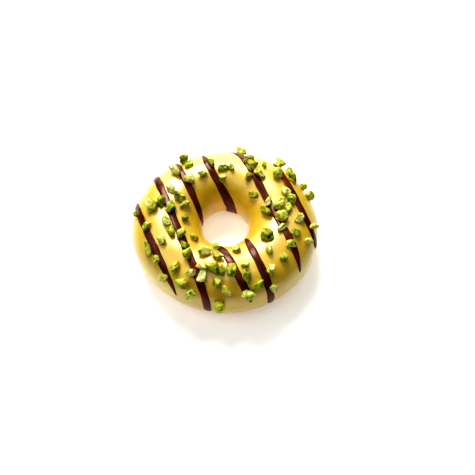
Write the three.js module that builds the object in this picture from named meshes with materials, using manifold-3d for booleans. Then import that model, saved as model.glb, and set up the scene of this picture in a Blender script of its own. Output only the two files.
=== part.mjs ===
// A ring doughnut, dipped in yellow icing, lined with chocolate drizzle and strewn with chopped pistachios.
//
// Millimetres, +Z up. The origin is on the surface that the doughnut rests on, under the middle of its hole.
// Two angles name a place on the ring. azimuth runs round the hole, from +X towards +Y. tube runs round the
// dough, from 0 at the rim, over 90 on top, to 180 in the hole and 270 underneath.

import * as THREE from "three";
import { mergeVertices } from "three/addons/utils/BufferGeometryUtils.js";
import Module from "manifold-3d";

// Ring of dough. The oval shares make the ring wider along X, and its hole longer along Y.
const RIM_RADIUS = 41.6;
const HOLE_RADIUS = 13.3;
const RIM_OVAL = 0.036;
const HOLE_OVAL = -0.05;
const RIM_HEIGHT = 12;
const RISE = 12.7; // from the rim's widest line to the top
const FLAT_SHARE = 0.9; // where the flat underside cuts the rounded lower half
const SQUARENESS = 2.2; // 2 is an ellipse, and more is boxier

// Unevenness of the ring, in waves round it, and its share that the hole and the top get.
const LUMP = 0.22;
const LUMP_WAVES = [
  { count: 3, phase: -1.3, share: 1 },
  { count: 5, phase: -2.6, share: 0.6 },
];
const LUMP_AT_HOLE = -0.5;
const LUMP_ON_TOP = 0.7;

// Icing. It lies on the dough with a narrow gap, so that the two stay separate solids.
const GAP = 0.3;
const ICING_THICKNESS = 1.2;
const ICING_TOP = GAP + ICING_THICKNESS;
const LIP_BEAD = 0.25; // how much thicker the icing is where it has run down to its lip
const LIP_BEAD_WIDTH = 9;
const LIP_EDGE = 0.6; // share of its height that the icing still has at the very edge
const RIM_LIP = -36;
const HOLE_LIP = 216;
const LIP_WAVE = 3.5;
const LIP_WAVES = [
  { count: 4, phase: 1.2, share: 1 },
  { count: 9, phase: 0.4, share: 0.5 },
];

// Chocolate drizzle: lines poured across the ring, side by side. Their width swells and shrinks in two waves.
const DRIZZLE_WIDTH = 3.4;
const DRIZZLE_HEIGHT = 0.5;
const DRIZZLE_TIP = 0.12; // share of the width left at a line's tip
const DRIZZLE_TAPER_POWER = 0.7;
const DRIZZLE_SWELLING = 0.04;
const DRIZZLE_SWELLING_WAVES = [0.35, 0.8]; // radians for each mm along the line
const DRIZZLE_SIDES = 6;
const DRIZZLE_STEP = 3.6;
const WALK_STEP = 0.1;
const MID_RADIUS = 28; // a line that crosses the hole is followed from here, on top of the ring

// Each stretch of drizzle has its heading from +Y towards -X and its distance from the axis. A line that
// crosses the hole is two stretches, one on the far side (-1) and one on the near side (1). An end has the
// tube angle where it stops, its taper, how far it drifts aside as it falls, and its width against the rest.
const drizzleEnd = (stop, taper, drift = 0, width = 1) => ({ stop, taper, drift, width });
const DRIZZLE = [
  { heading: 25.5, offset: -35.9, side: 0, far: drizzleEnd(-16, 4, 0.2), near: drizzleEnd(9, 15, 0.15) },
  { heading: 22.3, offset: -22.9, side: 0, far: drizzleEnd(-16, 4), near: drizzleEnd(-16, 3) },
  { heading: 26.2, offset: -9, side: -1, far: drizzleEnd(-16, 6), near: drizzleEnd(186, 7) },
  { heading: 26.2, offset: -9, side: 1, far: drizzleEnd(155, 8, -0.12), near: drizzleEnd(17, 6, 0.15) },
  { heading: 23.2, offset: 3.3, side: -1, far: drizzleEnd(50, 6), near: drizzleEnd(205, 1, 0.32, 1.8) },
  { heading: 23.2, offset: 3.3, side: 1, far: drizzleEnd(150, 11, 0.15), near: drizzleEnd(-16, 3, 0.05) },
  { heading: 23, offset: 21, side: 0, far: drizzleEnd(-16, 3, -0.3), near: drizzleEnd(22, 12, -0.05) },
  { heading: 21.8, offset: 33.5, side: 0, far: drizzleEnd(44, 9), near: drizzleEnd(12, 2, 0.15) },
];

// Chopped pistachios, strewn by chance: thickest on top and on the near side, and thinner down the flanks.
const NUT_COUNT = 80;
const NUT_SPACING = 4; // least distance between two pieces
const NUT_TUBE = 76; // where they lie thickest
const NUT_TUBE_REACH = 62; // how far from there the last ones lie
const NUT_CROWDING = 0.45; // how many more there are on the near side, and how many fewer on the far side
const NUT_SIZE = 2.5; // mean half-width
const NUT_SIZE_SPREAD = 0.28;
const NUT_PROPORTIONS = [1.2, 0.85, 0.85]; // length, width and height against the half-width
const NUT_FORM_SPREAD = 0.2;
const NUT_CURL = 0.35; // how far a piece's two ends bend up or down
const NUT_TILT = 0.5;
const NUT_SINK = 0.25; // share of its half-height that a piece is sunk in the icing
const NUT_FACETS = 6;
const NUT_FACET_DEPTH = 0.7; // how far from its middle a chopped face cuts the piece, against its half-size
const NUT_FACET_SPREAD = 0.25;
const NUT_FACET_LOWEST = -0.4; // how far down a chopped face looks at most, so that a piece keeps its foot
const NUT_SEED = 154290;

const DOUGH_COLOR = 0xb9762f;
const DOUGH_ROUGHNESS = 0.75;
const ICING_COLOR = 0xf0c94a;
const ICING_ROUGHNESS = 0.3;

const TURN = 2 * Math.PI;
const SMALL_ANGLE = 1e-3; // for slopes measured on the surface
const SMALL_LENGTH = 1e-4; // corners nearer than this are one corner
const AZIMUTH_STEPS = 60;
const DOUGH_STEPS = 20;
const ICING_OUTER_STEPS = 18;
const ICING_INNER_STEPS = 15;
const HALVINGS = 30;

const wasm = await Module();
wasm.setup();

const radians = THREE.MathUtils.degToRad;

// A sum of waves round the ring.
function ringWave(waves, azimuth) {
  return waves.reduce((sum, { count, phase, share }) => sum + share * Math.sin(count * azimuth + phase), 0);
}

// Half-way line, half-width and rise of the dough's ring.
function plan(azimuth) {
  const lump = LUMP * ringWave(LUMP_WAVES, azimuth);
  const oval = Math.cos(2 * azimuth);
  const rim = RIM_RADIUS * (1 + RIM_OVAL * oval) + lump;
  const hole = HOLE_RADIUS * (1 + HOLE_OVAL * oval) + LUMP_AT_HOLE * lump;
  return { middle: (rim + hole) / 2, half: (rim - hole) / 2, rise: RISE + LUMP_ON_TOP * lump };
}

// A point of the dough's cross-section: its distance from the axis, and its height.
function outline(azimuth, tube) {
  const { middle, half, rise } = plan(azimuth);
  const across = Math.cos(tube);
  const up = Math.sin(tube);
  const reach = (Math.abs(across) ** SQUARENESS + Math.abs(up) ** SQUARENESS) ** (-1 / SQUARENESS);
  const height = up > 0 ? rise * reach * up : RIM_HEIGHT * Math.max((reach * up) / FLAT_SHARE, -1);
  return [middle + half * reach * across, RIM_HEIGHT + height];
}

// A point held above the dough's surface by lift.
function skin(azimuth, tube, lift) {
  const [radius, z] = outline(azimuth, tube);
  const [radiusBefore, zBefore] = outline(azimuth, tube - SMALL_ANGLE);
  const [radiusAfter, zAfter] = outline(azimuth, tube + SMALL_ANGLE);
  const outward = new THREE.Vector2(zAfter - zBefore, radiusBefore - radiusAfter).setLength(lift);
  const reach = radius + outward.x;
  return new THREE.Vector3(reach * Math.cos(azimuth), reach * Math.sin(azimuth), z + outward.y);
}

// Where a place is, the directions round the ring, round the tube and out, and how fast the first two go.
function surfaceFrame(azimuth, tube, lift) {
  const here = skin(azimuth, tube, lift);
  const round = skin(azimuth + SMALL_ANGLE, tube, lift).sub(here).divideScalar(SMALL_ANGLE);
  const over = skin(azimuth, tube + SMALL_ANGLE, lift).sub(here).divideScalar(SMALL_ANGLE);
  return {
    here,
    round: round.clone().normalize(),
    over: over.clone().normalize(),
    out: round.clone().cross(over).normalize(),
    roundSpeed: round.length(),
    overSpeed: over.length(),
  };
}

// Bends a geometry into shape: place gives each vertex its new position, from its old one and its uv.
function bend(geometry, place) {
  const position = geometry.getAttribute("position");
  const uv = geometry.getAttribute("uv");
  for (let i = 0; i < position.count; i++) {
    const old = new THREE.Vector3().fromBufferAttribute(position, i);
    const moved = place(old, uv.getX(i), uv.getY(i));
    position.setXYZ(i, moved.x, moved.y, moved.z);
  }
  return geometry;
}

function toSolid(geometry) {
  const bare = geometry.clone();
  bare.deleteAttribute("normal");
  bare.deleteAttribute("uv");
  const merged = mergeVertices(bare, SMALL_LENGTH);
  return new wasm.Manifold(
    new wasm.Mesh({
      numProp: 3,
      vertProperties: merged.getAttribute("position").array,
      triVerts: new Uint32Array(merged.index.array),
    }),
  );
}

function toGeometry(solid) {
  const { vertProperties, triVerts } = solid.getMesh();
  const geometry = new THREE.BufferGeometry();
  geometry.setAttribute("position", new THREE.BufferAttribute(vertProperties, 3));
  geometry.setIndex(new THREE.BufferAttribute(triVerts, 1));
  return geometry;
}

// The same random numbers each time, from 0 to 1.
function makeRandom(seed) {
  const factor = 48271;
  const modulus = 2147483647;
  let state = seed;
  return () => {
    state = (state * factor) % modulus;
    return state / modulus;
  };
}

// A torus of any size, to be bent into shape: u runs round the hole and v round the tube.
const plainRing = (tubeSteps) => new THREE.TorusGeometry(2, 1, tubeSteps, AZIMUTH_STEPS);

function makeDough() {
  return bend(plainRing(DOUGH_STEPS), (_, u, v) => skin(u * TURN, v * TURN, 0));
}

// The icing's two lips, as tube angles: they wave up and down round the ring.
function lips(azimuth) {
  const wave = LIP_WAVE * ringWave(LIP_WAVES, azimuth);
  return { rim: radians(RIM_LIP + wave), hole: radians(HOLE_LIP - wave) };
}

// How far the icing's outer face stands off the dough. It is thicker along its lips.
function icingLift(azimuth, tube) {
  const { rim, hole } = lips(azimuth);
  const fromLip = THREE.MathUtils.radToDeg(Math.min(tube - rim, hole - tube));
  const past = (fromLip - LIP_BEAD_WIDTH) / LIP_BEAD_WIDTH;
  return ICING_TOP + LIP_BEAD * Math.exp(-(past ** 2));
}

// The icing is one closed shell: v runs along its outer face from the rim's lip to the hole's, and back.
function makeIcing() {
  const steps = ICING_OUTER_STEPS + ICING_INNER_STEPS;
  return bend(plainRing(steps), (_, u, v) => {
    const azimuth = u * TURN;
    const { rim, hole } = lips(azimuth);
    const step = Math.round(v * steps) % steps;
    if (step <= ICING_OUTER_STEPS) {
      const share = step / ICING_OUTER_STEPS;
      const tube = THREE.MathUtils.lerp(rim, hole, share);
      const atLip = share === 0 || share === 1;
      return skin(azimuth, tube, atLip ? LIP_EDGE * ICING_TOP : icingLift(azimuth, tube));
    }
    const share = (step - ICING_OUTER_STEPS) / ICING_INNER_STEPS;
    return skin(azimuth, THREE.MathUtils.lerp(hole, rim, share), GAP);
  });
}

// The tube angle on the icing's upper half where it lies this far from the axis.
function tubeAtRadius(azimuth, radius) {
  let low = 0;
  let high = Math.PI;
  for (let i = 0; i < HALVINGS; i++) {
    const tube = (low + high) / 2;
    const { x, y } = skin(azimuth, tube, ICING_TOP);
    if (Math.hypot(x, y) > radius) low = tube;
    else high = tube;
  }
  return low;
}

// Follows a vertical plane over the icing, from a place on top to one end, and drifts aside as it falls.
function followPlane(start, planeNormal, side, { stop, drift }) {
  const path = [];
  let { azimuth, tube } = start;
  const last = radians(stop);
  while ((tube > last) === (start.tube > last)) {
    path.push({ azimuth, tube });
    const { round, over, out, roundSpeed, overSpeed } = surfaceFrame(azimuth, tube, ICING_TOP);
    const heading = planeNormal.clone().cross(out).multiplyScalar(side);
    heading.addScaledVector(planeNormal, drift * Math.max(-heading.z, 0));
    heading.setLength(WALK_STEP);
    const shared = round.dot(over);
    const apart = 1 - shared ** 2;
    azimuth += (heading.dot(round) - shared * heading.dot(over)) / apart / roundSpeed;
    tube += (heading.dot(over) - shared * heading.dot(round)) / apart / overSpeed;
  }
  return path;
}

// The path of one stretch of drizzle, from its far end to its near end.
function drizzlePath({ heading, offset, side, far, near }) {
  const angle = radians(heading);
  const planeNormal = new THREE.Vector3(Math.cos(angle), Math.sin(angle), 0);
  const along = new THREE.Vector3(Math.sin(angle), -Math.cos(angle), 0);
  const distance = side * Math.sqrt(Math.max(MID_RADIUS ** 2 - offset ** 2, 0));
  const point = planeNormal.clone().multiplyScalar(offset).addScaledVector(along, distance);
  const azimuth = Math.atan2(point.y, point.x);
  const start = { azimuth, tube: tubeAtRadius(azimuth, point.length()) };
  const toFar = followPlane(start, planeNormal, -1, far);
  const toNear = followPlane(start, planeNormal, 1, near);
  return [...toFar.reverse(), ...toNear.slice(1)];
}

// A stretch's width at a place along it: it tapers at both ends, and swells and shrinks in its own way.
function drizzleWidth(along, length, { far, near }, phase) {
  const tip = Math.min(along / far.taper, (length - along) / near.taper, 1);
  const tapered = THREE.MathUtils.lerp(DRIZZLE_TIP, 1, tip ** DRIZZLE_TAPER_POWER);
  const fromMiddle = (2 * along) / length - 1;
  const end = fromMiddle > 0 ? near : far;
  const widened = THREE.MathUtils.lerp(1, end.width, Math.abs(fromMiddle));
  const waves = DRIZZLE_SWELLING_WAVES.map((wave, i) => Math.sin(wave * along + (i + 1) * phase));
  return tapered * widened * (1 + DRIZZLE_SWELLING * (waves[0] + waves[1]));
}

// A ribbon of chocolate with a low round back, laid along its path and sunk half-way into the icing.
function makeDrizzle(stretch, phase) {
  const path = drizzlePath(stretch);
  const length = (path.length - 1) * WALK_STEP;
  const steps = Math.round(length / DRIZZLE_STEP);
  const ribbon = new THREE.CylinderGeometry(1, 1, 1, DRIZZLE_SIDES, steps);
  return bend(ribbon, (section) => {
    const along = (section.y + 0.5) * length;
    const place = Math.round(along / WALK_STEP);
    const { azimuth, tube } = path[place];
    const before = path[Math.max(place - 1, 0)];
    const after = path[Math.min(place + 1, path.length - 1)];
    const { round, over, out, roundSpeed, overSpeed } = surfaceFrame(azimuth, tube, ICING_TOP);
    const heading = round.clone().multiplyScalar((after.azimuth - before.azimuth) * roundSpeed);
    heading.addScaledVector(over, (after.tube - before.tube) * overSpeed);
    const full = drizzleWidth(along, length, stretch, phase);
    const sideways = heading.clone().cross(out).setLength(0.5 * DRIZZLE_WIDTH * full * section.x);
    const besideAzimuth = azimuth + sideways.dot(round) / roundSpeed;
    const besideTube = tube + sideways.dot(over) / overSpeed;
    const lift = icingLift(besideAzimuth, besideTube) + DRIZZLE_HEIGHT * Math.min(full, 1) * section.z;
    return skin(besideAzimuth, besideTube, lift);
  });
}

// Places for the chopped pieces, none nearer to another than the spacing.
function strewNuts(random) {
  const places = [];
  while (places.length < NUT_COUNT) {
    const azimuth = TURN * random();
    const tube = radians(NUT_TUBE + NUT_TUBE_REACH * (random() + random() - 1));
    const taken = random() * (1 + NUT_CROWDING) < 1 - NUT_CROWDING * Math.sin(azimuth);
    const middle = skin(azimuth, tube, ICING_TOP);
    const free = places.every((place) => place.middle.distanceTo(middle) > NUT_SPACING);
    if (taken && free) places.push({ azimuth, tube, middle });
  }
  return places;
}

// One chopped piece, as a lump of three half-sizes whose corners flat facets cut off, and how it lies.
function drawPiece(random, { azimuth, tube }) {
  const vary = (middle, share) => middle * (1 + share * (2 * random() - 1));
  const either = (most) => most * (2 * random() - 1);
  const size = vary(NUT_SIZE, NUT_SIZE_SPREAD);
  const halfSizes = NUT_PROPORTIONS.map((share) => vary(size * share, NUT_FORM_SPREAD));
  const yaw = TURN * random();
  const tilt = either(NUT_TILT);
  const curl = either(NUT_CURL);
  const facets = Array.from({ length: NUT_FACETS }, () => {
    const z = THREE.MathUtils.lerp(NUT_FACET_LOWEST, 1, random());
    const turn = TURN * random();
    const side = Math.sqrt(1 - z * z);
    const normal = new THREE.Vector3(side * Math.cos(turn), side * Math.sin(turn), z);
    return { normal, depth: vary(NUT_FACET_DEPTH, NUT_FACET_SPREAD) };
  });
  return { azimuth, tube, halfSizes, yaw, tilt, curl, facets };
}

function makePiece({ azimuth, tube, halfSizes, yaw, tilt, curl, facets }) {
  const { here, round, out } = surfaceFrame(azimuth, tube, icingLift(azimuth, tube));
  const turned = new THREE.Matrix4().makeBasis(round, out.clone().cross(round), out);
  turned.multiply(new THREE.Matrix4().makeRotationZ(yaw));
  turned.multiply(new THREE.Matrix4().makeRotationX(tilt));
  const middle = here.addScaledVector(out, halfSizes[2] * (1 - NUT_SINK));
  const reachAlong = (direction) =>
    facets.reduce((reach, { normal, depth }) => {
      const toward = normal.dot(direction);
      return toward > 0 ? Math.min(reach, depth / toward) : reach;
    }, 1);
  return bend(new THREE.IcosahedronGeometry(1, 0), (direction) => {
    const point = direction.clone().multiplyScalar(reachAlong(direction));
    point.z += curl * point.x ** 2;
    return point.multiply(new THREE.Vector3(...halfSizes)).applyMatrix4(turned).add(middle);
  });
}

function makeNuts() {
  const random = makeRandom(NUT_SEED);
  return strewNuts(random).map((place) => makePiece(drawPiece(random, place)));
}

// Joins the toppings to the icing. The join keeps its largest body, so that no loose scrap stays.
function fuse(base, toppings) {
  const joined = toppings.reduce((sum, topping) => sum.add(toSolid(topping)), toSolid(base));
  return joined.decompose().reduce((most, body) => (body.volume() > most.volume() ? body : most));
}

function makeMesh(name, geometry, color, roughness) {
  const material = new THREE.MeshStandardMaterial({ color, roughness, metalness: 0 });
  const mesh = new THREE.Mesh(geometry, material);
  mesh.name = name;
  return mesh;
}

const drizzle = DRIZZLE.map(makeDrizzle);
const iced = toGeometry(fuse(makeIcing(), [...drizzle, ...makeNuts()]));

const doughnut = new THREE.Group();
doughnut.add(makeMesh("dough", makeDough(), DOUGH_COLOR, DOUGH_ROUGHNESS));
doughnut.add(makeMesh("icing", iced, ICING_COLOR, ICING_ROUGHNESS));

export default doughnut;
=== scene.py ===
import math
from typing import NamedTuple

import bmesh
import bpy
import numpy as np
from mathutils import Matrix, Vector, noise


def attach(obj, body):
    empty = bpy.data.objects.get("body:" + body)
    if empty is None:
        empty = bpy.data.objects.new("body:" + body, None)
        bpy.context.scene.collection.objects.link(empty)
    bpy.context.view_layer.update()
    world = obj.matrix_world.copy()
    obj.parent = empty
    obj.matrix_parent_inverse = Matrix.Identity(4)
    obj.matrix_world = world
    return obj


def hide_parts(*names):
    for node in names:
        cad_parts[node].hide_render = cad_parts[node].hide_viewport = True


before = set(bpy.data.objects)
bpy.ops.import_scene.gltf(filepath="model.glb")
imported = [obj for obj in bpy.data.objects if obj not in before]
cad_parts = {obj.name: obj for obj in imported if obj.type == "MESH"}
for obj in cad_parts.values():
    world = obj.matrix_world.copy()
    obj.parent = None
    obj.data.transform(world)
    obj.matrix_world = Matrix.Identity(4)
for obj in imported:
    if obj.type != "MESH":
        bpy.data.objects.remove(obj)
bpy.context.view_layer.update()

# A ring doughnut in yellow icing, with chocolate drizzle and chopped pistachios, seen from the front and
# above.
#
# Metres, +Z up, with the origin under the middle of the hole. Two angles name a place on the ring. azimuth
# runs round the hole, from +X towards +Y. tube runs round the dough, from 0 at the rim, over a quarter turn
# on top, to a half turn in the hole and three quarters underneath.

MM = 0.001
TURN = 2 * math.pi
SMALL_ANGLE = 1e-3  # for slopes measured on the surface
SMALL_SHARE = 1e-3  # next to nothing, but not zero
HALVINGS = 30


class Wave(NamedTuple):
    """A wave over the ring: its swings round the hole, phase and share, and its swings round the tube."""

    count: int
    phase: float
    share: float = 1
    tube_count: int = 0


class DrizzleEnd(NamedTuple):
    """An end of a stretch of drizzle: the tube angle where it stops in degrees, its taper in mm, how far it
    drifts aside as it falls, and its width against the rest."""

    stop: float
    taper: float
    drift: float = 0
    width: float = 1


class Stretch(NamedTuple):
    """A stretch of drizzle: its heading from +Y towards -X in degrees, its distance from the axis in mm, the
    side of the hole that it is on (-1 is far, 1 is near, 0 is a line past the hole), and its two ends."""

    heading: float
    offset: float
    side: int
    far: DrizzleEnd
    near: DrizzleEnd


# Ring of dough, as in the construction. The oval shares make the ring wider along X, and its hole longer
# along Y.
RIM_RADIUS = 41.6 * MM
HOLE_RADIUS = 13.3 * MM
RIM_OVAL = 0.036
HOLE_OVAL = -0.05
RIM_HEIGHT = 12 * MM
RISE = 12.7 * MM  # from the rim's widest line to the top
FLAT_SHARE = 0.9  # where the flat underside cuts the rounded lower half
SQUARENESS = 2.2  # 2 is an ellipse, and more is boxier
DOUGH_AZIMUTH_STEPS = 256
DOUGH_TUBE_STEPS = 128

# Unevenness of the ring, in waves round it, and its share that the hole and the top get.
LUMP = 0.22 * MM
LUMP_WAVES = [Wave(3, -1.3), Wave(5, -2.6, 0.6)]
LUMP_AT_HOLE = -0.5
LUMP_ON_TOP = 0.7

# Icing. It lies on the dough with the construction's narrow gap, and its outer face has soft ripples.
GAP = 0.3 * MM
ICING_THICKNESS = 1.2 * MM
ICING_TOP = GAP + ICING_THICKNESS
LIP_BEAD = 0.25 * MM  # how much thicker the icing is where it has run down to its lip
LIP_BEAD_WIDTH = math.radians(9)
LIP_ROUND = math.radians(5)  # how far up from its edge the lip is rounded
LIP_EDGE = 0.04  # share of its height that the icing still has at the very edge
RIM_LIP = math.radians(-36)
HOLE_LIP = math.radians(216)
LIP_WAVE = math.radians(3.5)
LIP_WAVES = [Wave(4, 1.2), Wave(9, 0.4, 0.5)]
RIPPLE = 0.06 * MM
RIPPLE_WAVES = [Wave(7, 0.5, 1, 3), Wave(13, 1.9, 0.7, -4), Wave(5, 4, 0.5, 9)]
ICING_AZIMUTH_STEPS = 400
ICING_OUTER_STEPS = 170
ICING_INNER_STEPS = 40

# Chocolate drizzle: lines poured across the ring, side by side. Their width swells and shrinks in two waves.
DRIZZLE_WIDTH = 3.4 * MM
DRIZZLE_HEIGHT = 0.5 * MM
DRIZZLE_SINK = 0.35 * MM
DRIZZLE_ROUNDNESS = 0.45  # 1 is half an ellipse, and less is fuller at the sides
DRIZZLE_TIP = 0.12  # share of the width left at a line's tip
DRIZZLE_TAPER_POWER = 0.7
DRIZZLE_BLUNT = 0.4 * DRIZZLE_WIDTH  # the length over which a line's tip is rounded off
DRIZZLE_SWELLING = 0.04
DRIZZLE_SWELLING_WAVES = [0.35 / MM, 0.8 / MM]  # radians for each metre along the line
DRIZZLE_SECTION = 28  # points round a line
WALK_STEP = 0.1 * MM
WALKS_PER_RING = 3
MID_RADIUS = 28 * MM  # a line that crosses the hole is followed from here, on top of the ring

# A line that crosses the hole is two stretches, one on the far side and one on the near side.
DRIZZLE = [
    Stretch(25.5, -35.9, 0, DrizzleEnd(-16, 4, 0.2), DrizzleEnd(9, 15, 0.15)),
    Stretch(22.3, -22.9, 0, DrizzleEnd(-16, 4), DrizzleEnd(-16, 3)),
    Stretch(26.2, -9, -1, DrizzleEnd(-16, 6), DrizzleEnd(186, 7)),
    Stretch(26.2, -9, 1, DrizzleEnd(155, 8, -0.12), DrizzleEnd(17, 6, 0.15)),
    Stretch(23.2, 3.3, -1, DrizzleEnd(50, 6), DrizzleEnd(205, 1, 0.32, 1.8)),
    Stretch(23.2, 3.3, 1, DrizzleEnd(150, 11, 0.15), DrizzleEnd(-16, 3, 0.05)),
    Stretch(23, 21, 0, DrizzleEnd(-16, 3, -0.3), DrizzleEnd(22, 12, -0.05)),
    Stretch(21.8, 33.5, 0, DrizzleEnd(44, 9), DrizzleEnd(12, 2, 0.15)),
]

# Chopped pistachios, strewn by chance as in the construction: thickest on top and on the near side.
NUT_COUNT = 80
NUT_SPACING = 4 * MM  # least distance between two pieces
NUT_TUBE = 76  # degrees, where they lie thickest
NUT_TUBE_REACH = 62  # degrees from there to the last ones
NUT_CROWDING = 0.45  # how many more there are on the near side, and how many fewer on the far side
NUT_SIZE = 2.5 * MM  # mean half-width
NUT_SIZE_SPREAD = 0.28
NUT_PROPORTIONS = [1.2, 0.85, 0.85]  # length, width and height against the half-width
NUT_FORM_SPREAD = 0.2
NUT_CURL = 0.35  # how far a piece's two ends bend up or down
NUT_TILT = 0.5
NUT_SINK = 0.25  # share of its half-height that a piece is sunk in the icing
NUT_FACETS = 6
NUT_FACET_DEPTH = 0.7  # how far from its middle a chopped face cuts the piece, against its half-size
NUT_FACET_SPREAD = 0.25
NUT_FACET_LOWEST = -0.4  # how far down a chopped face looks at most, so that a piece keeps its foot
NUT_SEED = 154290
NUT_SUBDIVISIONS = 4

# How the pieces are crumbled further, as shares of their half-size: small facets, scoops, grain and creases.
NUT_SMALL_FACETS = 6
NUT_SMALL_FACET_DEPTHS = [0.7, 0.9]
NUT_SCOOPS = 3
NUT_SCOOP_DEPTHS = [0.15, 0.5]
NUT_SCOOP_COSINE = 0.7  # of the angle between a scoop's middle and its edge
# A scoop's floor is darkened with painted shade.
NUT_SCOOP_FLOOR = 0.55  # where a scoop's floor starts, from 0 at its edge to 1 at its middle
NUT_SWELL = 1.08  # makes up for what the scoops and creases take away
NUT_GRAIN = 0.12
NUT_GRAIN_SCALE = 2.2
NUT_CREASE = 0.2
NUT_CREASE_SCALE = 2.6
NUT_CREASE_WIDTH = 0.06  # counted in the noise's values, as the floor's width is
# The floor of a crease is darkened with painted shade.
NUT_CREASE_FLOOR = 0.04
NUT_SHIFTS = [0, 100]  # where in the noise a piece's own grain may lie

# Tints of the nuts, from 0 for deep green to 1 for pale yellow, with painted shade in scoops and creases. All
# but the first are added to a piece's own.
NUT_OWN_TINTS = [0.5, 0.9]
NUT_FACET_TINTS = [-0.15, 0.15]
NUT_ROUND_TINT = -0.25
NUT_SCOOP_TINT = 0.1
# Painted shade: the floor of a scoop is darkened, as shade would fall in it.
NUT_SCOOP_FLOOR_PAINTED_SHADE = -0.25
# Painted shade: creases are darkened, as shade would fall in them.
NUT_CREASE_PAINTED_SHADE = -0.25
NUT_MOTTLE_TINTS = [-0.2, 0.2]

# Colours, as stops of a ramp over noise, or over the nuts' tint with its painted shade.
DOUGH_COLOURS = [(0.3, (0.32, 0.12, 0.025)), (0.55, (0.5, 0.22, 0.055)), (0.75, (0.66, 0.36, 0.12))]
ICING_COLOURS = [(0.35, (0.77, 0.52, 0.03)), (0.65, (0.82, 0.6, 0.06))]
CHOCOLATE_COLOURS = [(0.35, (0.08, 0.012, 0.0006)), (0.7, (0.2, 0.045, 0.002))]
NUT_COLOURS = [
    (0, (0.03, 0.045, 0.001)),
    (0.25, (0.18, 0.21, 0.002)),
    (0.5, (0.48, 0.51, 0.03)),
    (0.75, (0.75, 0.75, 0.18)),
    (1, (0.93, 0.9, 0.52)),
]
NUT_HUES = [0.47, 0.53]  # 0.5 leaves a colour as it is
FLOOR_COLOUR = (0.94, 0.94, 0.94, 1)
WHITE = (1, 1, 1, 1)

# Spans of a noise's values: nearly all of them, most of them, and the middle ones.
NOISE_WIDE = [0.25, 0.75]
NOISE_MOST = [0.3, 0.7]
NOISE_MIDDLE = [0.35, 0.65]

# The stage. The floor glows a little, so that it comes out white.
FLOOR_REACH = 3  # from the middle to each side
FLOOR_ROUGHNESS = 0.8
FLOOR_GLOW = 0.28
BACKDROP_STRENGTH = 0.29
LIGHT_DISTANCE = 0.8
EXPOSURE = -0.18

# The camera, as it stood for the photo.
PHOTO_SIZE = 475
CAMERA_ELEVATION = math.radians(60)
CAMERA_DISTANCE = 230 * MM
CLIP_START = 10 * MM
FOCAL_PIXELS = 476
SENSOR_WIDTH = 36  # in mm, as cameras have it
RING_PIXEL = (225.25, 227.6)


def wave_sum(waves, azimuth, tube=0):
    """A sum of waves, at a place on the ring."""
    return sum(
        wave.share * np.sin(wave.count * azimuth + wave.tube_count * tube + wave.phase) for wave in waves
    )


def plan(azimuth):
    """Half-way line, half-width and rise of the dough's ring."""
    lump = LUMP * wave_sum(LUMP_WAVES, azimuth)
    oval = np.cos(2 * azimuth)
    rim = RIM_RADIUS * (1 + RIM_OVAL * oval) + lump
    hole = HOLE_RADIUS * (1 + HOLE_OVAL * oval) + LUMP_AT_HOLE * lump
    return (rim + hole) / 2, (rim - hole) / 2, RISE + LUMP_ON_TOP * lump


def outline(azimuth, tube):
    """A point of the dough's cross-section: its distance from the axis, and its height."""
    middle, half, rise = plan(azimuth)
    across = np.cos(tube)
    up = np.sin(tube)
    reach = (np.abs(across) ** SQUARENESS + np.abs(up) ** SQUARENESS) ** (-1 / SQUARENESS)
    lower = RIM_HEIGHT * np.maximum(reach * up / FLAT_SHARE, -1)
    return middle + half * reach * across, RIM_HEIGHT + np.where(up > 0, rise * reach * up, lower)


def skin(azimuth, tube, lift):
    """Points held above the dough's surface by lift."""
    radius, z = outline(azimuth, tube)
    radius_before, z_before = outline(azimuth, tube - SMALL_ANGLE)
    radius_after, z_after = outline(azimuth, tube + SMALL_ANGLE)
    out_r = z_after - z_before
    out_z = radius_before - radius_after
    scale = lift / np.hypot(out_r, out_z)
    reach = radius + out_r * scale
    return np.stack([reach * np.cos(azimuth), reach * np.sin(azimuth), z + out_z * scale], axis=-1)


def unit(vectors):
    """The vectors, each made 1 long."""
    return vectors / np.linalg.norm(vectors, axis=-1, keepdims=True)


def surface_frame(azimuth, tube, lift):
    """Where a place is, the directions round the ring, round the tube and out, and the first two's speeds."""
    here = skin(azimuth, tube, lift)
    around = (skin(azimuth + SMALL_ANGLE, tube, lift) - here) / SMALL_ANGLE
    over = (skin(azimuth, tube + SMALL_ANGLE, lift) - here) / SMALL_ANGLE
    out = unit(np.cross(around, over))
    return here, unit(around), unit(over), out, np.linalg.norm(around, axis=-1), np.linalg.norm(over, axis=-1)


def full_turn(steps):
    """Angles spread evenly over a full turn."""
    return np.arange(steps) * TURN / steps


def make_random(seed):
    """The same random numbers as the construction draws, from 0 to 1."""
    factor = 48271
    modulus = 2147483647
    state = seed

    def draw():
        nonlocal state
        state = state * factor % modulus
        return state / modulus

    return draw


def add_object(name, data):
    """Puts a mesh, a light or a camera into the scene."""
    added = bpy.data.objects.new(name, data)
    bpy.context.scene.collection.objects.link(added)
    return added


def make_object(name, points, faces, material):
    """A smooth piece of the doughnut."""
    mesh = bpy.data.meshes.new(name)
    mesh.from_pydata([tuple(point) for point in points], [], faces)
    mesh.validate()
    mesh.polygons.foreach_set("use_smooth", [True] * len(mesh.polygons))
    mesh.materials.append(material)
    piece = add_object(name, mesh)
    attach(piece, "root")
    return piece


def grid_faces(rows, columns, close_rows=True):
    """Quads over rows of points. Each row closes on itself, and close_rows joins the last to the first."""
    faces = []
    for row in range(rows if close_rows else rows - 1):
        for column in range(columns):
            row_after = (row + 1) % rows
            column_after = (column + 1) % columns
            corners = [(row, column), (row_after, column), (row_after, column_after), (row, column_after)]
            faces.append(tuple(i * columns + j for i, j in corners))
    return faces


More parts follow.
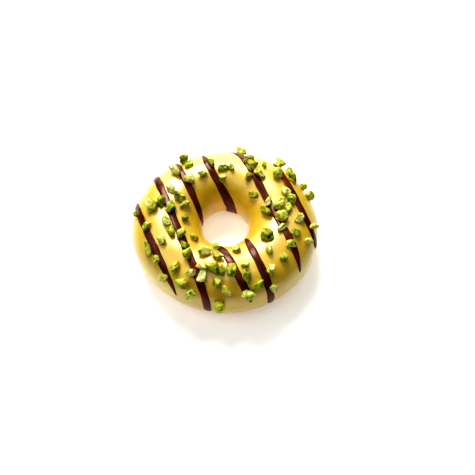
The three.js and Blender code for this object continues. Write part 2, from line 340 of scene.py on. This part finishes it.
def join(shapes):
    """The points and faces of several shapes, as those of one mesh."""
    all_points, all_faces = [], []
    start = 0
    for points, faces in shapes:
        all_points.append(points)
        all_faces += [tuple(start + k for k in face) for face in faces]
        start += len(points)
    return np.concatenate(all_points), all_faces


def link(tree, source, target):
    tree.links.new(source, target)


def set_inputs(node, values):
    for socket, value in values.items():
        node.inputs[socket].default_value = value


def new_material(name):
    """A material, its node tree and its shader."""
    material = bpy.data.materials.new(name)
    material.use_nodes = True
    tree = material.node_tree
    return material, tree, tree.nodes["Principled BSDF"]


def noise_node(tree, scale, detail=3, roughness=0.5):
    """Noise through the object's space."""
    node = tree.nodes.new("ShaderNodeTexNoise")
    set_inputs(node, {"Scale": scale, "Detail": detail, "Roughness": roughness})
    link(tree, tree.nodes.new("ShaderNodeTexCoord").outputs["Object"], node.inputs["Vector"])
    return node.outputs["Fac"]


def ramp(tree, source, stops):
    """A colour ramp with (place, colour) stops."""
    node = tree.nodes.new("ShaderNodeValToRGB")
    elements = node.color_ramp.elements
    while len(elements) < len(stops):
        elements.new(0.5)  # each element gets its own place below
    for element, (place, colour) in zip(elements, stops):
        element.position = place
        element.color = (*colour, 1)
    link(tree, source, node.inputs["Fac"])
    return node.outputs["Color"]


def value_range(tree, source, span, new_span):
    """Stretches one span of values over another."""
    node = tree.nodes.new("ShaderNodeMapRange")
    set_inputs(node, {"From Min": span[0], "From Max": span[1], "To Min": new_span[0], "To Max": new_span[1]})
    link(tree, source, node.inputs["Value"])
    return node.outputs["Result"]


def vary_roughness(tree, shader, scale, span):
    """Makes a surface smoother in some places than in others."""
    link(tree, value_range(tree, noise_node(tree, scale), NOISE_MOST, span), shader.inputs["Roughness"])


def bump(tree, height, distance, strength, below=None):
    """Relief in the shading, over another one if that is given."""
    node = tree.nodes.new("ShaderNodeBump")
    set_inputs(node, {"Distance": distance, "Strength": strength})
    link(tree, height, node.inputs["Height"])
    if below:
        link(tree, below, node.inputs["Normal"])
    return node.outputs["Normal"]


def dough_material():
    material, tree, shader = new_material("fried_dough")
    browning = noise_node(tree, 70, detail=5, roughness=0.6)
    link(tree, ramp(tree, browning, DOUGH_COLOURS), shader.inputs["Base Color"])
    vary_roughness(tree, shader, 200, [0.55, 0.8])
    pores = bump(tree, noise_node(tree, 350, detail=5, roughness=0.65), distance=0.5 * MM, strength=0.6)
    link(tree, pores, shader.inputs["Normal"])
    return material


def icing_material():
    material, tree, shader = new_material("icing")
    link(tree, ramp(tree, noise_node(tree, 45), ICING_COLOURS), shader.inputs["Base Color"])
    vary_roughness(tree, shader, 160, [0.44, 0.52])
    waves = bump(tree, noise_node(tree, 220, detail=2), distance=0.12 * MM, strength=0.5)
    grain = bump(tree, noise_node(tree, 1500, detail=2), distance=0.02 * MM, strength=0.5, below=waves)
    link(tree, grain, shader.inputs["Normal"])
    gloss = {"Specular IOR Level": 1, "Coat Weight": 1, "Coat Roughness": 0.28}
    glow = {"Subsurface Weight": 0.15, "Subsurface Radius": (1, 0.6, 0.15), "Subsurface Scale": 2 * MM}
    set_inputs(shader, gloss | glow)
    return material


def chocolate_material():
    material, tree, shader = new_material("chocolate")
    link(tree, ramp(tree, noise_node(tree, 120), CHOCOLATE_COLOURS), shader.inputs["Base Color"])
    vary_roughness(tree, shader, 300, [0.22, 0.3])
    link(tree, bump(tree, noise_node(tree, 500), distance=0.03 * MM, strength=0.4), shader.inputs["Normal"])
    set_inputs(shader, {"Specular IOR Level": 0.42, "Specular Tint": (1, 0.8, 0.76, 1)})
    return material


def pistachio_material():
    material, tree, shader = new_material("pistachio")
    link(tree, nut_colour(tree), shader.inputs["Base Color"])
    rough = bump(tree, noise_node(tree, 900, detail=4, roughness=0.6), distance=0.09 * MM, strength=0.5)
    grit = noise_node(tree, 3500, roughness=0.6)
    link(tree, bump(tree, grit, distance=0.02 * MM, strength=0.5, below=rough), shader.inputs["Normal"])
    gloss = {"Roughness": 0.6, "Specular IOR Level": 0.3}
    glow = {"Subsurface Weight": 0.08, "Subsurface Radius": (0.8, 1, 0.3), "Subsurface Scale": 1 * MM}
    set_inputs(shader, gloss | glow)
    return material


def nut_colour(tree):
    """The nuts' colour: each place has its own tint, from green to yellow, with painted shade in scoops and
    creases, and is mottled.
    """
    own = tree.nodes.new("ShaderNodeAttribute")
    own.attribute_name = "piece_tint_and_shade"
    mottle = noise_node(tree, 600, detail=4, roughness=0.6)
    total = tree.nodes.new("ShaderNodeMath")
    total.operation = "ADD"
    total.use_clamp = True
    link(tree, own.outputs["Fac"], total.inputs[0])
    link(tree, value_range(tree, mottle, NOISE_WIDE, NUT_MOTTLE_TINTS), total.inputs[1])
    hue = tree.nodes.new("ShaderNodeHueSaturation")
    link(tree, ramp(tree, total.outputs[0], NUT_COLOURS), hue.inputs["Color"])
    link(tree, value_range(tree, noise_node(tree, 260, detail=1), NOISE_MIDDLE, NUT_HUES), hue.inputs["Hue"])
    return hue.outputs["Color"]


def make_dough():
    azimuth = full_turn(DOUGH_AZIMUTH_STEPS)[:, None]
    points = skin(azimuth, full_turn(DOUGH_TUBE_STEPS), 0).reshape(-1, 3)
    faces = grid_faces(DOUGH_AZIMUTH_STEPS, DOUGH_TUBE_STEPS)
    piece = make_object("dough_ring", points, faces, dough_material())
    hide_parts("dough")


def lips(azimuth):
    """The icing's two lips, as tube angles: they wave up and down round the ring."""
    wave = LIP_WAVE * wave_sum(LIP_WAVES, azimuth)
    return RIM_LIP + wave, HOLE_LIP - wave


def icing_lift(azimuth, tube):
    """How far the icing's outer face stands off the dough: more near its lips, and rounded down at them."""
    rim, hole = lips(azimuth)
    from_lip = np.maximum(np.minimum(tube - rim, hole - tube), 0)
    bead = LIP_BEAD * np.exp(-(((from_lip - LIP_BEAD_WIDTH) / LIP_BEAD_WIDTH) ** 2))
    rounding = np.sqrt(1 - (1 - np.minimum(from_lip / LIP_ROUND, 1)) ** 2)
    ripple = RIPPLE * wave_sum(RIPPLE_WAVES, azimuth, tube)
    return GAP + (ICING_THICKNESS + bead + ripple) * (LIP_EDGE + (1 - LIP_EDGE) * rounding)


def make_icing():
    """The icing runs from lip to lip, over its outer face and back along the dough."""
    azimuth = full_turn(ICING_AZIMUTH_STEPS)[:, None]
    rim, hole = lips(azimuth)
    evenly = np.linspace(0, 1, ICING_OUTER_STEPS)
    closer_at_lips = (1 - np.cos(math.pi * evenly)) / 2
    outer_tube = rim + (hole - rim) * (evenly + closer_at_lips) / 2
    outer = skin(azimuth, outer_tube, icing_lift(azimuth, outer_tube))
    inner_tube = rim + (hole - rim) * np.linspace(1, 0, ICING_INNER_STEPS)
    inner = skin(azimuth, inner_tube, GAP)
    points = np.concatenate([outer, inner], axis=1).reshape(-1, 3)
    faces = grid_faces(ICING_AZIMUTH_STEPS, ICING_OUTER_STEPS + ICING_INNER_STEPS)
    icing = make_object("icing_glaze", points, faces, icing_material())
    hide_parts("icing")


def tube_at_radius(azimuth, radius):
    """The tube angle on the icing's upper half where it lies this far from the axis."""
    low, high = 0, math.pi
    for _ in range(HALVINGS):
        tube = (low + high) / 2
        x, y, _z = skin(azimuth, tube, ICING_TOP)
        if math.hypot(x, y) > radius:
            low = tube
        else:
            high = tube
    return low


def follow_plane(azimuth, tube, plane_normal, way, end):
    """Follows a vertical plane over the icing, from a place on top to the far end (way is -1) or the near end
    (way is 1), and drifts aside as it falls."""
    path = []
    last = math.radians(end.stop)
    starts_above = tube > last
    while (tube > last) == starts_above:
        path.append((azimuth, tube))
        _, around, over, out, around_speed, over_speed = surface_frame(azimuth, tube, ICING_TOP)
        heading = way * np.cross(plane_normal, out)
        heading += end.drift * max(-heading[2], 0) * plane_normal
        heading *= WALK_STEP / np.linalg.norm(heading)
        # The two directions aren't quite square to each other, so what they share is counted once.
        shared = around @ over
        azimuth += (heading @ around - shared * (heading @ over)) / (1 - shared**2) / around_speed
        tube += (heading @ over - shared * (heading @ around)) / (1 - shared**2) / over_speed
    return path


def drizzle_path(stretch):
    """The path of one stretch of drizzle, from its far end to its near end."""
    angle = math.radians(stretch.heading)
    offset = stretch.offset * MM
    plane_normal = np.array([math.cos(angle), math.sin(angle), 0])
    along = np.array([math.sin(angle), -math.cos(angle), 0])
    distance = stretch.side * math.sqrt(max(MID_RADIUS**2 - offset**2, 0))
    point = plane_normal * offset + along * distance
    azimuth = math.atan2(point[1], point[0])
    tube = tube_at_radius(azimuth, np.linalg.norm(point))
    to_far = follow_plane(azimuth, tube, plane_normal, -1, stretch.far)
    to_near = follow_plane(azimuth, tube, plane_normal, 1, stretch.near)
    return np.array(to_far[::-1] + to_near[1:])


def drizzle_width(along, length, stretch, phase):
    """A stretch's width along it, which tapers, swells and shrinks, and how its two tips are rounded off."""
    to_near = length - along
    tip = np.clip(np.minimum(along / (stretch.far.taper * MM), to_near / (stretch.near.taper * MM)), 0, 1)
    tapered = DRIZZLE_TIP + (1 - DRIZZLE_TIP) * tip**DRIZZLE_TAPER_POWER
    from_middle = 2 * along / length - 1
    end_width = np.where(from_middle > 0, stretch.near.width, stretch.far.width)
    widened = 1 + (end_width - 1) * np.abs(from_middle)
    waves = sum(np.sin(wave * along + (i + 1) * phase) for i, wave in enumerate(DRIZZLE_SWELLING_WAVES))
    blunt = np.clip(np.minimum(along, to_near) / DRIZZLE_BLUNT, SMALL_SHARE, 1)
    return tapered * widened * (1 + DRIZZLE_SWELLING * waves), np.sqrt(1 - (1 - blunt) ** 2)


def ribbon_rings(stretch, phase):
    """Rings of points along a stretch, round a ribbon of chocolate with a low round back."""
    path = drizzle_path(stretch)
    length = (len(path) - 1) * WALK_STEP
    places = np.arange(0, len(path), WALKS_PER_RING)
    azimuth, tube = path[places].T
    _, around, over, out, around_speed, over_speed = surface_frame(azimuth, tube, ICING_TOP)
    turning = np.gradient(path, axis=0)[places]
    forward = around * (turning[:, 0] * around_speed)[:, None] + over * (turning[:, 1] * over_speed)[:, None]
    sideways = unit(np.cross(out, forward))
    width, rounding = drizzle_width(places * WALK_STEP, length, stretch, phase)
    turn = full_turn(DRIZZLE_SECTION)
    side_step = (DRIZZLE_WIDTH / 2 * width * rounding)[:, None] * np.sin(turn)
    side_azimuth = azimuth[:, None] + side_step * (np.sum(sideways * around, axis=1) / around_speed)[:, None]
    side_tube = tube[:, None] + side_step * (np.sum(sideways * over, axis=1) / over_speed)[:, None]
    up = np.cos(turn)
    depth = np.where(up > 0, DRIZZLE_HEIGHT * np.abs(up) ** DRIZZLE_ROUNDNESS, DRIZZLE_SINK * up)
    lift = icing_lift(side_azimuth, side_tube) + depth * np.sqrt(np.minimum(width * rounding, 1))[:, None]
    return skin(side_azimuth, side_tube, lift)


def make_ribbon(stretch, phase):
    """Points and faces of one ribbon, closed at both ends."""
    rings = ribbon_rings(stretch, phase)
    faces = grid_faces(len(rings), DRIZZLE_SECTION, close_rows=False)
    last = (len(rings) - 1) * DRIZZLE_SECTION
    faces.append(tuple(range(DRIZZLE_SECTION)))
    faces.append(tuple(last + i for i in reversed(range(DRIZZLE_SECTION))))
    return rings.reshape(-1, 3), faces


def make_drizzle():
    points, faces = join([make_ribbon(stretch, phase) for phase, stretch in enumerate(DRIZZLE)])
    make_object("chocolate_drizzle", points, faces, chocolate_material())


def strew_nuts(random):
    """Places for the chopped pieces, none nearer to another than the spacing."""
    places, middles = [], []
    while len(places) < NUT_COUNT:
        azimuth = TURN * random()
        tube = math.radians(NUT_TUBE + NUT_TUBE_REACH * (random() + random() - 1))
        taken = random() * (1 + NUT_CROWDING) < 1 - NUT_CROWDING * math.sin(azimuth)
        middle = skin(azimuth, tube, ICING_TOP)
        free = all(np.linalg.norm(middle - other) > NUT_SPACING for other in middles)
        if taken and free:
            places.append((azimuth, tube))
            middles.append(middle)
    return places


def draw_piece(random):
    """One chopped piece: its half-sizes and how it lies, and its facets' directions and depths."""

    def vary(middle, share):
        return middle * (1 + share * (2 * random() - 1))

    def either(most):
        return most * (2 * random() - 1)

    size = vary(NUT_SIZE, NUT_SIZE_SPREAD)
    half_sizes = [vary(size * share, NUT_FORM_SPREAD) for share in NUT_PROPORTIONS]
    yaw = TURN * random()
    tilt = either(NUT_TILT)
    curl = either(NUT_CURL)
    normals, depths = [], []
    for _ in range(NUT_FACETS):
        z = NUT_FACET_LOWEST + (1 - NUT_FACET_LOWEST) * random()
        turn = TURN * random()
        side = math.sqrt(1 - z * z)
        normals.append((side * math.cos(turn), side * math.sin(turn), z))
        depths.append(vary(NUT_FACET_DEPTH, NUT_FACET_SPREAD))
    return (np.array(half_sizes), yaw, tilt, curl), np.array(normals), np.array(depths)


def unit_ball():
    """Directions all round a ball, and its faces."""
    ball = bmesh.new()
    bmesh.ops.create_icosphere(ball, subdivisions=NUT_SUBDIVISIONS, radius=1)
    points = np.array([vert.co[:] for vert in ball.verts])
    faces = [tuple(vert.index for vert in face.verts) for face in ball.faces]
    ball.free()
    return unit(points), faces


def draw_directions(chip_random, count):
    """Directions at random, none of them far down, so that a piece keeps its foot."""
    drawn = chip_random.normal(size=(count, 3))
    drawn[:, 2] = np.maximum(drawn[:, 2], NUT_FACET_LOWEST)
    return unit(drawn)


def chop(directions, normals, depths, chip_random):
    """How far a ball reaches along each direction once large and small facets cut it, and its tints."""
    small_normals = draw_directions(chip_random, NUT_SMALL_FACETS)
    small_depths = chip_random.uniform(*NUT_SMALL_FACET_DEPTHS, NUT_SMALL_FACETS)
    toward = np.maximum(directions @ np.concatenate([normals, small_normals]).T, SMALL_SHARE)
    facets = np.append(depths, small_depths) / toward
    reaches = np.column_stack([facets, np.ones(len(directions))])
    tints = np.append(chip_random.uniform(*NUT_FACET_TINTS, facets.shape[1]), NUT_ROUND_TINT)
    return np.min(reaches, axis=1), tints[np.argmin(reaches, axis=1)]


def scoop(directions, middle, depth):
    """The share of its reach that a scoop leaves a piece along each direction, and the scoop's tint, with
    painted shade on its floor.
    """
    inside = np.clip((directions @ middle - NUT_SCOOP_COSINE) / (1 - NUT_SCOOP_COSINE), 0, 1)
    # The scoop's floor is darkened: painted shade.
    tint_and_shade = NUT_SCOOP_TINT * (inside > 0) + NUT_SCOOP_FLOOR_PAINTED_SHADE * (inside > NUT_SCOOP_FLOOR)
    return 1 - depth * np.sqrt(inside), tint_and_shade


def noise_over(directions, scale, shift):
    """Noise over a ball, from -1 to 1."""
    return np.array([noise.noise(Vector(direction * scale) + shift) for direction in directions])


def shape_piece(directions, normals, depths, chip_random):
    """A piece's surface along each direction, with chopped faces, scoops and a few creases, and its tints,
    with painted shade in the scoops' floors and the creases.
    """
    reach, tint_and_shade = chop(directions, normals, depths, chip_random)
    for middle in draw_directions(chip_random, NUT_SCOOPS):
        kept, scoop_tint_and_shade = scoop(directions, middle, chip_random.uniform(*NUT_SCOOP_DEPTHS))
        reach = reach * kept
        tint_and_shade = tint_and_shade + scoop_tint_and_shade
    shift = Vector(chip_random.uniform(*NUT_SHIFTS, 3))
    grain = noise_over(directions, NUT_GRAIN_SCALE, shift)
    from_crease = np.abs(noise_over(directions, NUT_CREASE_SCALE, -shift))
    crease = np.exp(-((from_crease / NUT_CREASE_WIDTH) ** 2))
    reach = reach * (NUT_SWELL + NUT_GRAIN * grain - NUT_CREASE * crease)
    # Creases are darkened: painted shade.
    return directions * reach[:, None], tint_and_shade + NUT_CREASE_PAINTED_SHADE * (from_crease < NUT_CREASE_FLOOR)


def place_piece(shape, azimuth, tube, half_sizes, yaw, tilt, curl):
    """Curls a piece, turns it and sinks its foot into the icing."""
    here, around, _, out, _, _ = surface_frame(azimuth, tube, icing_lift(azimuth, tube))
    basis = np.stack([around, np.cross(out, around), out], axis=1)
    turned = basis @ np.array(Matrix.Rotation(yaw, 3, "Z")) @ np.array(Matrix.Rotation(tilt, 3, "X"))
    curled = shape + np.outer(curl * shape[:, 0] ** 2, (0, 0, 1))
    return (curled * half_sizes) @ turned.T + here + out * half_sizes[2] * (1 - NUT_SINK)


def make_nuts():
    random = make_random(NUT_SEED)
    chip_random = np.random.default_rng(NUT_SEED)
    directions, ball_faces = unit_ball()
    nuts, tints = [], []
    for place in strew_nuts(random):
        lie, normals, depths = draw_piece(random)
        shape, tint_and_shade = shape_piece(directions, normals, depths, chip_random)
        nuts.append((place_piece(shape, *place, *lie), ball_faces))
        tints.append(chip_random.uniform(*NUT_OWN_TINTS) + tint_and_shade)
    points, faces = join(nuts)
    piece = make_object("pistachio_pieces", points, faces, pistachio_material())
    # The attribute carries each place's tint together with the painted shade of scoops and creases.
    attribute = piece.data.attributes.new("piece_tint_and_shade", "FLOAT", "POINT")
    attribute.data.foreach_set("value", np.concatenate(tints))


def make_floor():
    mesh = bpy.data.meshes.new("floor")
    corners = [(x * FLOOR_REACH, y * FLOOR_REACH, 0) for x, y in [(-1, -1), (1, -1), (1, 1), (-1, 1)]]
    mesh.from_pydata(corners, [], [(0, 1, 2, 3)])
    floor = add_object("floor", mesh)
    material, _, shader = new_material("floor")
    set_inputs(shader, {"Base Color": FLOOR_COLOUR, "Roughness": FLOOR_ROUGHNESS})
    set_inputs(shader, {"Emission Color": WHITE, "Emission Strength": FLOOR_GLOW})
    mesh.materials.append(material)


def make_area_light(name, azimuth, elevation, size, power):
    """A soft panel of light that faces the origin. Its place is in degrees, and its power in watts."""
    data = bpy.data.lights.new(name, "AREA")
    data.shape = "RECTANGLE"
    data.size, data.size_y = size
    data.energy = power
    light = add_object(name, data)
    turn = math.radians(azimuth)
    rise = math.radians(elevation)
    away = Vector((math.cos(turn) * math.cos(rise), math.sin(turn) * math.cos(rise), math.sin(rise)))
    light.location = LIGHT_DISTANCE * away
    light.rotation_euler = away.to_track_quat("Z", "Y").to_euler()


def make_lights():
    make_area_light("key", azimuth=106, elevation=51, size=(0.32, 0.32), power=4.2)
    make_area_light("back", azimuth=95, elevation=16, size=(0.8, 0.3), power=2.2)
    make_area_light("left", azimuth=185, elevation=50, size=(0.45, 0.45), power=1.2)
    make_area_light("right", azimuth=45, elevation=55, size=(0.45, 0.45), power=0.5)
    make_area_light("top", azimuth=270, elevation=80, size=(0.45, 0.45), power=0.8)


def make_backdrop():
    """A grey world, as bright as the floor's far end. It shows behind the floor, and lights nothing."""
    world = bpy.data.worlds.new("world")
    world.use_nodes = True
    set_inputs(world.node_tree.nodes["Background"], {"Color": WHITE, "Strength": BACKDROP_STRENGTH})
    world.cycles_visibility.diffuse = False
    world.cycles_visibility.glossy = False
    bpy.context.scene.world = world


def make_camera():
    """The shift puts the ring's middle on its pixel of the photo."""
    data = bpy.data.cameras.new("camera")
    data.sensor_width = SENSOR_WIDTH
    data.lens = FOCAL_PIXELS * SENSOR_WIDTH / PHOTO_SIZE
    data.shift_x = (PHOTO_SIZE / 2 - RING_PIXEL[0]) / PHOTO_SIZE
    data.shift_y = (RING_PIXEL[1] - PHOTO_SIZE / 2) / PHOTO_SIZE
    data.clip_start = CLIP_START
    camera = add_object("camera", data)
    back = Vector((0, -math.cos(CAMERA_ELEVATION), math.sin(CAMERA_ELEVATION)))
    camera.location = Vector((0, 0, RIM_HEIGHT)) + CAMERA_DISTANCE * back
    camera.rotation_euler = back.to_track_quat("Z", "Y").to_euler()
    bpy.context.scene.camera = camera


def set_display():
    """The picture's contrast and exposure."""
    settings = bpy.context.scene.view_settings
    settings.view_transform = "Standard"
    settings.look = "Very High Contrast"
    settings.exposure = EXPOSURE


def main():
    make_camera()
    make_backdrop()
    make_lights()
    make_floor()
    set_display()
    make_dough()
    make_icing()
    make_drizzle()
    make_nuts()


main()
